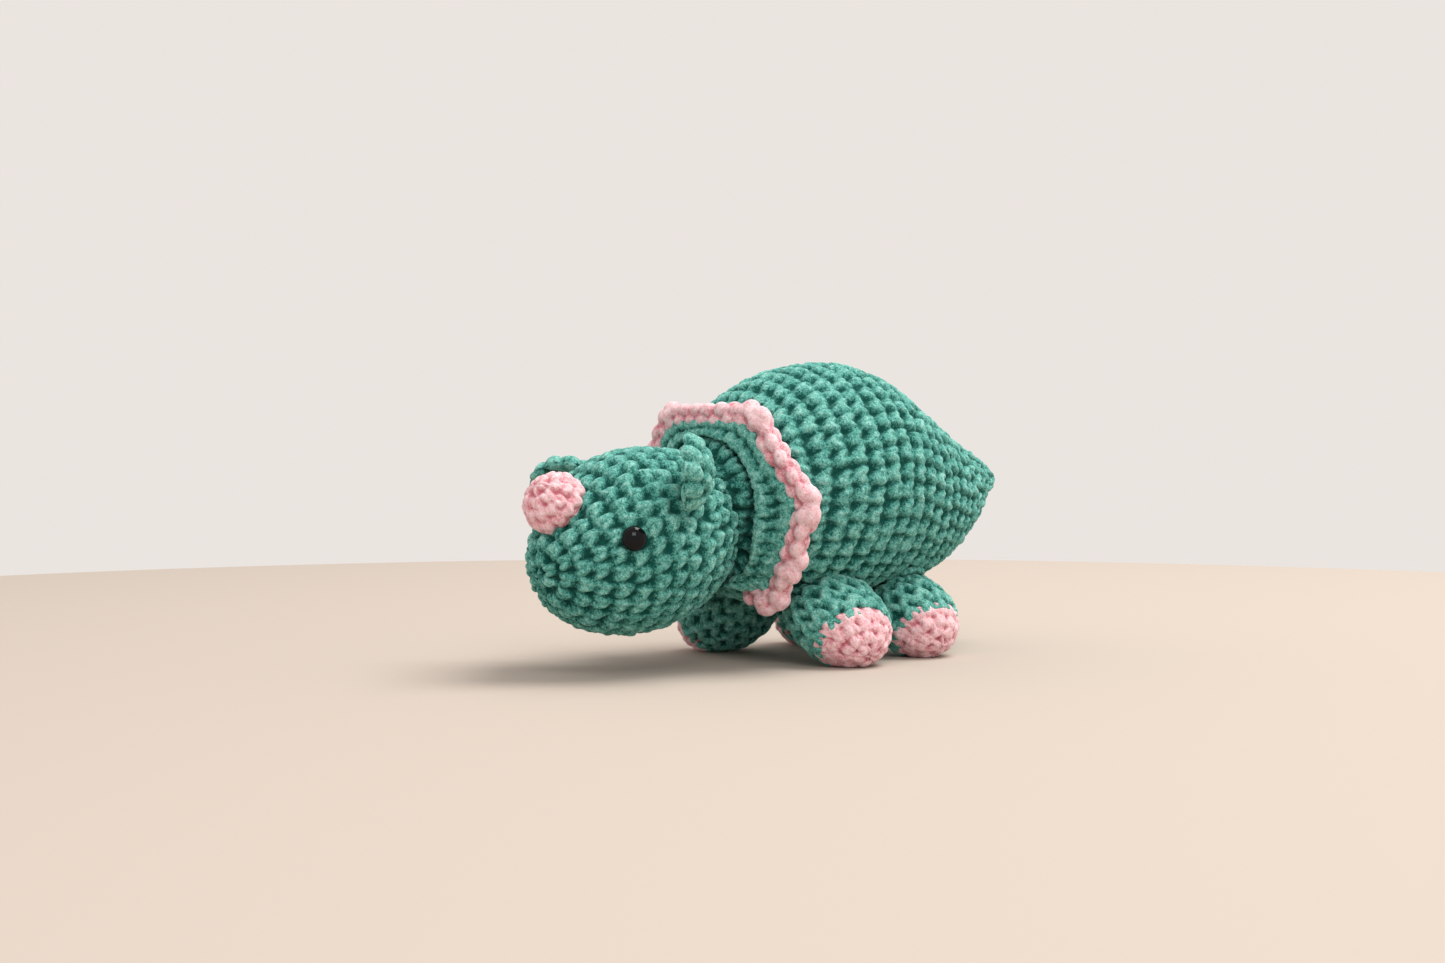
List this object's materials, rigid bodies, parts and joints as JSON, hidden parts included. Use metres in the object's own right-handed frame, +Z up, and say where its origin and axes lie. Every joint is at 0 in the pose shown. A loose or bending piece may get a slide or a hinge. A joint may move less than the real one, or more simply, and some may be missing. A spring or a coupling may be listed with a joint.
{
  "type": "stuffed toy dinosaur",
  "caption": "Stuffed crocheted dinosaur with a bordered neck frill, ball-shaped nose horn, cupped ears and ball feet; the head, ears and legs flex at their sewn seams.",
  "frame": {"origin": "under the middle of the toy's bounding box, on the surface it stands on", "axes": "+Z up, -Y towards the nose, +Y towards the tail tip, +X the animal's left"},
  "size_m": [0.1174, 0.2774, 0.1295],
  "materials": {
    "teal_chenille": "crocheted chenille yarn, soft pile",
    "pink_chenille": "crocheted chenille yarn, soft pile",
    "fibre_fill": "loose polyester fibre",
    "eye_plastic": "moulded, glossy",
    "washer_plastic": "moulded"
  },
  "bodies": {
    "body": {"body_cover": "teal_chenille", "body_stuffing": "fibre_fill", "neck_seam": "teal_chenille", "frill_panel": "teal_chenille", "frill_border": "pink_chenille", "leg_seam_front_left": "teal_chenille", "leg_seam_front_right": "teal_chenille", "leg_seam_rear_left": "teal_chenille", "leg_seam_rear_right": "teal_chenille"},
    "neck": {"neck_wad": "fibre_fill"},
    "head": {"head_cover": "teal_chenille", "head_stuffing": "fibre_fill", "eye_left": "eye_plastic", "eye_washer_left": "washer_plastic", "eye_right": "eye_plastic", "eye_washer_right": "washer_plastic", "horn_seam": "pink_chenille"},
    "horn": {"horn_cover": "pink_chenille", "horn_stuffing": "fibre_fill"},
    "ear_left": {"ear_left": "teal_chenille"},
    "ear_right": {"ear_right": "teal_chenille"},
    "leg_front_left": {"leg_front_left": "teal_chenille", "sole_front_left": "pink_chenille", "leg_stuffing_front_left": "fibre_fill"},
    "leg_front_right": {"leg_front_right": "teal_chenille", "sole_front_right": "pink_chenille", "leg_stuffing_front_right": "fibre_fill"},
    "leg_rear_left": {"leg_rear_left": "teal_chenille", "sole_rear_left": "pink_chenille", "leg_stuffing_rear_left": "fibre_fill"},
    "leg_rear_right": {"leg_rear_right": "teal_chenille", "sole_rear_right": "pink_chenille", "leg_stuffing_rear_right": "fibre_fill"}
  },
  "joints": [
    {"name": "head_turn", "type": "hinge", "parent": "body", "child": "neck", "pos_m": [0, -0.03585, 0.067], "axis": [0, 0, 1], "range_deg": [-6, 6], "stiffness_Nm_per_rad": 1.2},
    {"name": "head_nod", "type": "hinge", "parent": "neck", "child": "head", "pos_m": [0, -0.03585, 0.067], "axis": [1, 0, 0], "range_deg": [-8, 8], "stiffness_Nm_per_rad": 1.2},
    {"name": "horn_tip", "type": "hinge", "parent": "head", "child": "horn", "pos_m": [0, -0.12327, 0.0676], "axis": [1, 0, 0], "range_deg": [-5, 5], "stiffness_Nm_per_rad": 0.05},
    {"name": "ear_left_flap", "type": "hinge", "parent": "head", "child": "ear_left", "pos_m": [0.03033, -0.07718, 0.0825], "axis": [0, 0, 1], "range_deg": [-12, 12], "stiffness_Nm_per_rad": 0.02},
    {"name": "ear_right_flap", "type": "hinge", "parent": "head", "child": "ear_right", "pos_m": [-0.03033, -0.07718, 0.0785], "axis": [0, 0, 1], "range_deg": [-12, 12], "stiffness_Nm_per_rad": 0.02},
    {"name": "leg_front_left_swing", "type": "hinge", "parent": "body", "child": "leg_front_left", "pos_m": [0.02714, -0.00285, 0.0311], "axis": [1, 0, 0], "range_deg": [-8, 8], "stiffness_Nm_per_rad": 0.5},
    {"name": "leg_front_right_swing", "type": "hinge", "parent": "body", "child": "leg_front_right", "pos_m": [-0.02714, -0.00285, 0.0311], "axis": [1, 0, 0], "range_deg": [-8, 8], "stiffness_Nm_per_rad": 0.5},
    {"name": "leg_rear_left_swing", "type": "hinge", "parent": "body", "child": "leg_rear_left", "pos_m": [0.02162, 0.04865, 0.03292], "axis": [1, 0, 0], "range_deg": [-8, 8], "stiffness_Nm_per_rad": 0.5},
    {"name": "leg_rear_right_swing", "type": "hinge", "parent": "body", "child": "leg_rear_right", "pos_m": [-0.02162, 0.04865, 0.03292], "axis": [1, 0, 0], "range_deg": [-8, 8], "stiffness_Nm_per_rad": 0.5}
  ]
}
